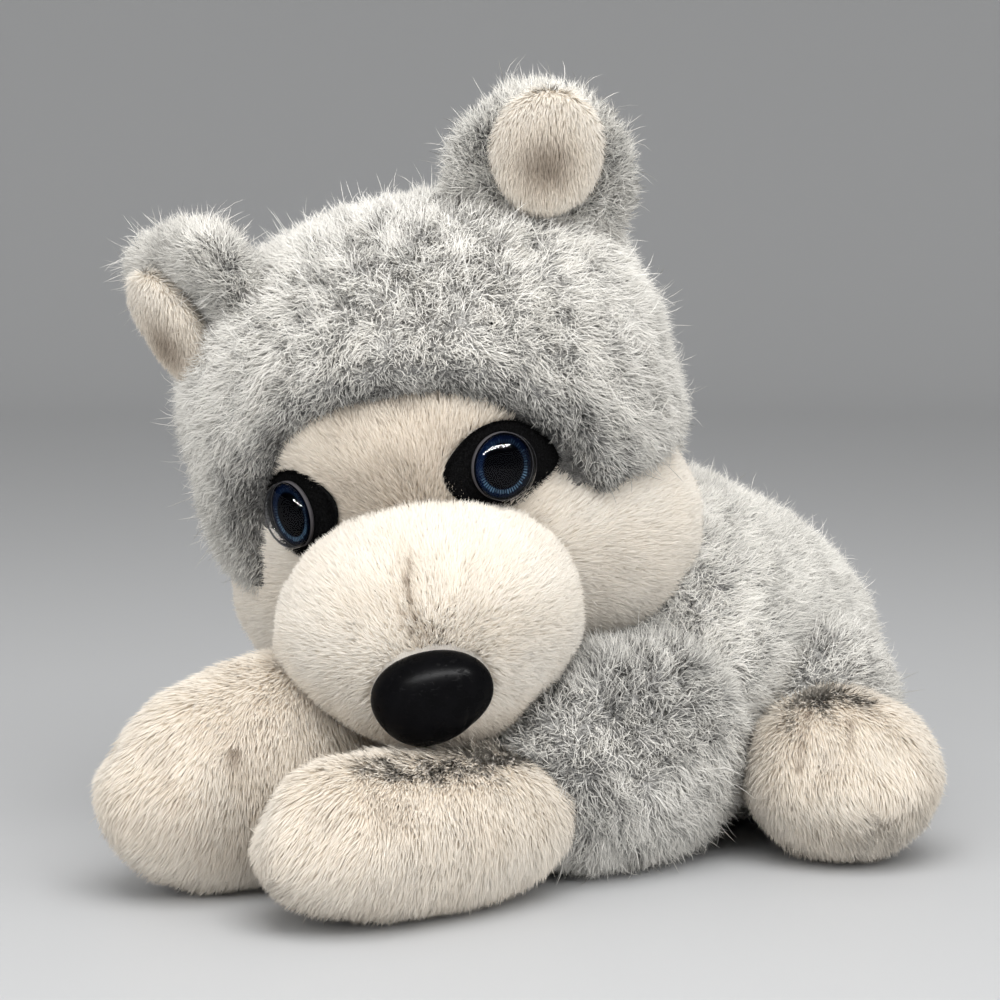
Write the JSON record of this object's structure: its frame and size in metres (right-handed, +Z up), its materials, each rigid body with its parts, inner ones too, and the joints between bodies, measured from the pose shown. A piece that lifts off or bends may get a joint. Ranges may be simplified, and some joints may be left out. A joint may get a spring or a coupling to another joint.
{
  "type": "stuffed animal",
  "caption": "Plush puppy lying on its belly with its head turned to one side over its forepaws, grey pile hood and body, cream face, muzzle and paws, domed eyes and a moulded nose",
  "frame": {"origin": "centre of the bottom of the bounding box, on the surface it lies on", "axes": "+Z up, -Y the way the body points, +X the animal's left"},
  "size_m": [0.1928, 0.2926, 0.2041],
  "materials": {
    "grey long pile": "long curly pile, dark at the roots and silver at the tips",
    "cream short pile": "short dense pile",
    "black felt": "matte felt",
    "black moulded plastic": "satin, finely scratched",
    "clear eye plastic": "clear and polished",
    "dark blue eye paint": "dark blue with pale blue ticks",
    "white washer plastic": "plain moulded"
  },
  "bodies": {
    "root": {"body": "grey long pile", "hood": "grey long pile", "tail": "grey long pile", "face": "cream short pile", "muzzle": "cream short pile", "nose": "black moulded plastic", "nose_washer": "white washer plastic", "ear_outer_left": "grey long pile", "ear_lining_left": "cream short pile", "foreleg_left": "grey long pile", "forepaw_left": "cream short pile", "haunch_left": "grey long pile", "hind_paw_left": "cream short pile", "eye_patch_left": "black felt", "eye_dome_left": "clear eye plastic", "eye_back_left": "dark blue eye paint", "eye_washer_left": "white washer plastic", "ear_outer_right": "grey long pile", "ear_lining_right": "cream short pile", "foreleg_right": "grey long pile", "forepaw_right": "cream short pile", "haunch_right": "grey long pile", "hind_paw_right": "cream short pile", "eye_patch_right": "black felt", "eye_dome_right": "clear eye plastic", "eye_back_right": "dark blue eye paint", "eye_washer_right": "white washer plastic"}
  },
  "joints": []
}
